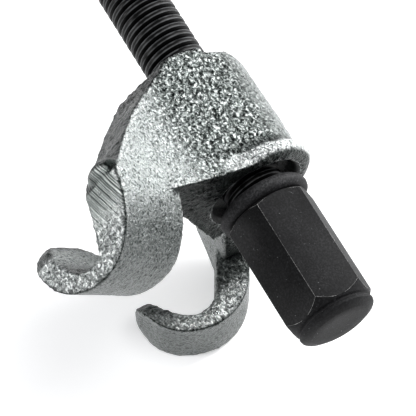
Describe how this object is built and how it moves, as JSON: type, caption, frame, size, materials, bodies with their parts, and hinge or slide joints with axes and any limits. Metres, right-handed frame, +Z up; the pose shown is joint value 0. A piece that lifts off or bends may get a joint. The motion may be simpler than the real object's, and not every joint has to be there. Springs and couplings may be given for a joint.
{
  "type": "coil spring compressor",
  "caption": "Screw-type coil spring compressor: two hooked steel jaws on a threaded spindle with a long hexagon drive head.",
  "frame": {"origin": "middle of the ground that the tool covers, lying on the flat outer sides of its two lower hooks", "axes": "+X along the spindle towards the hexagon head, +Y towards the back of the jaws, away from the hooks' open side, +Z up"},
  "size_m": [0.345, 0.076, 0.0899],
  "materials": {
    "black_spindle_steel": "oily black oxide, satin",
    "phosphated_steel": "matt black phosphate with worn edges",
    "zinc_plated_casting": "shot-blasted rough casting, bright zinc plated",
    "hardened_washer_steel": "dark satin, hardened"
  },
  "bodies": {
    "plain_jaw": {"plain_jaw": "zinc_plated_casting"},
    "spindle": {"spindle": "black_spindle_steel", "drive_head": "phosphated_steel", "retaining_ring": "hardened_washer_steel"},
    "thrust_washer": {"thrust_washer": "hardened_washer_steel"},
    "travelling_jaw": {"travelling_jaw": "zinc_plated_casting"},
    "stop_washer": {"stop_washer": "hardened_washer_steel"}
  },
  "joints": [
    {"name": "spindle_turn", "type": "hinge", "parent": "plain_jaw", "child": "spindle", "pos_m": [0.13, 0.0225, 0.0504], "axis": [1, 0, 0], "range_deg": [-25056, 6336]},
    {"name": "jaw_travel", "type": "slide", "parent": "plain_jaw", "child": "travelling_jaw", "axis": [1, 0, 0], "range_m": [-0.0441, 0.1742]},
    {"name": "thrust_washer_spin", "type": "hinge", "parent": "spindle", "child": "thrust_washer", "pos_m": [0.1356, 0.0225, 0.0504], "axis": [1, 0, 0], "continuous": true},
    {"name": "stop_washer_spin", "type": "hinge", "parent": "spindle", "child": "stop_washer", "pos_m": [-0.1617, 0.0225, 0.0504], "axis": [1, 0, 0], "continuous": true}
  ],
  "couplings": [
    {"joint": "jaw_travel", "follows": "spindle_turn", "m_per_rad": -0.00039789}
  ]
}
